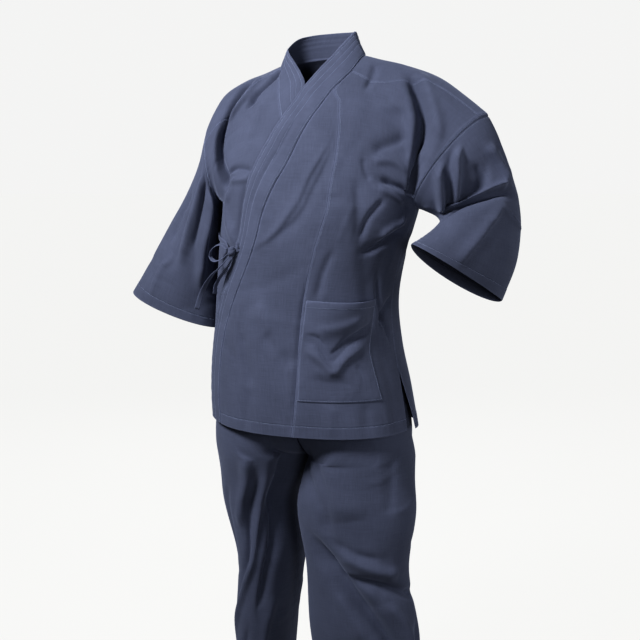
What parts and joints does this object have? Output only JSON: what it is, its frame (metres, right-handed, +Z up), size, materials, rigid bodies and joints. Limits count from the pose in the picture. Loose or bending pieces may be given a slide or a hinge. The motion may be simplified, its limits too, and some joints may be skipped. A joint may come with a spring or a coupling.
{
  "type": "samue",
  "caption": "Worn wrap jacket with a long front band, wide three-quarter sleeves, side slits, hip ties and a patch pocket, over loose straight trousers, in slate navy cotton.",
  "frame": {"origin": "midway between the two points where the shoulder line meets the neck, where the jacket is held", "axes": "+Z up along the garment, -Y is the front, +X is the wearer's left"},
  "size_m": [0.8468, 0.3135, 1.4563],
  "materials": {
    "cotton": "matt plain woven cotton, slate navy",
    "band": "matt plain woven cotton, folded band with rows of stitching",
    "ties": "matt woven cotton tape"
  },
  "bodies": {
    "root": {"left_front": "cotton", "right_front": "cotton", "left_overlap": "cotton", "jacket_back": "cotton", "sleeve_left": "cotton", "sleeve_right": "cotton", "collar": "band", "pocket": "cotton", "tie_knot": "ties", "tie_bow_loop": "ties", "tie_tail_long": "ties", "tie_tail_short": "ties", "tie_side_strap": "ties", "tie_edge_strap": "ties", "leg_left": "cotton", "leg_right": "cotton", "waistband": "cotton"}
  },
  "joints": []
}
